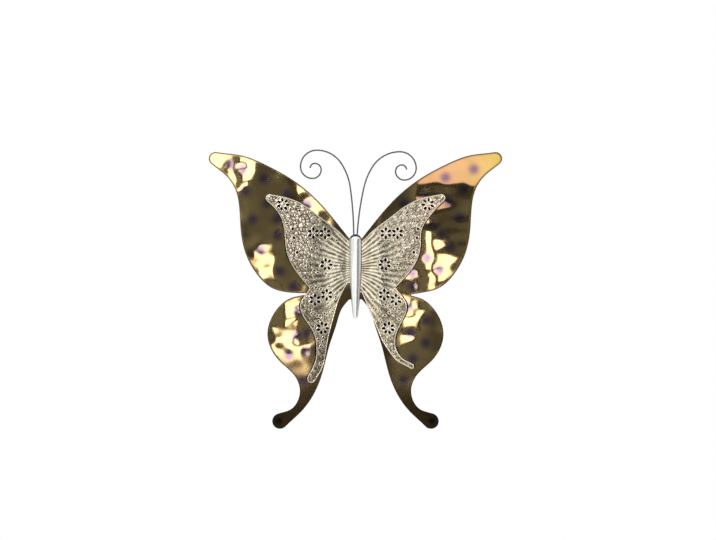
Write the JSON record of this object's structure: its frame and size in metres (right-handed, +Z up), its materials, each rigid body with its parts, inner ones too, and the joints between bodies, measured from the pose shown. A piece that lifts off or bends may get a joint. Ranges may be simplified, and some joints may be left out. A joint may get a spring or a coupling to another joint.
{
  "type": "butterfly wall ornament",
  "caption": "Metal butterfly to hang on a wall: hammered bronze wings, pierced silver filigree wings in front, polished body, curled wire antennae and a swinging ring behind.",
  "frame": {"origin": "middle of the hanging ring's opening, on the mirror plane of the butterfly", "axes": "+X across the wings to the right as seen from the front, +Y towards the wall, +Z up"},
  "size_m": [0.3634, 0.036, 0.3489],
  "materials": {
    "hammered_bronze": "hammered, polished and heat tinted",
    "pierced_silver": "embossed, pierced, champagne silver",
    "polished_body": "polished",
    "antenna_wire": "drawn wire",
    "zinc_steel": "zinc plated",
    "aluminium_rivet": "plain"
  },
  "bodies": {
    "ornament": {"left_outer_wing": "hammered_bronze", "right_outer_wing": "hammered_bronze", "left_filigree_wing": "pierced_silver", "right_filigree_wing": "pierced_silver", "body": "polished_body", "left_antenna": "antenna_wire", "right_antenna": "antenna_wire", "spine": "zinc_steel", "wing_rivets": "aluminium_rivet", "upper_body_screw": "zinc_steel", "lower_body_screw": "zinc_steel", "hanger_strap": "zinc_steel"},
    "ring": {"hang_ring": "zinc_steel"}
  },
  "joints": [
    {"name": "ring_swing", "type": "hinge", "parent": "ornament", "child": "ring", "pos_m": [0, 0, -0.009], "axis": [-1, 0, 0], "range_deg": [0, 165]}
  ]
}
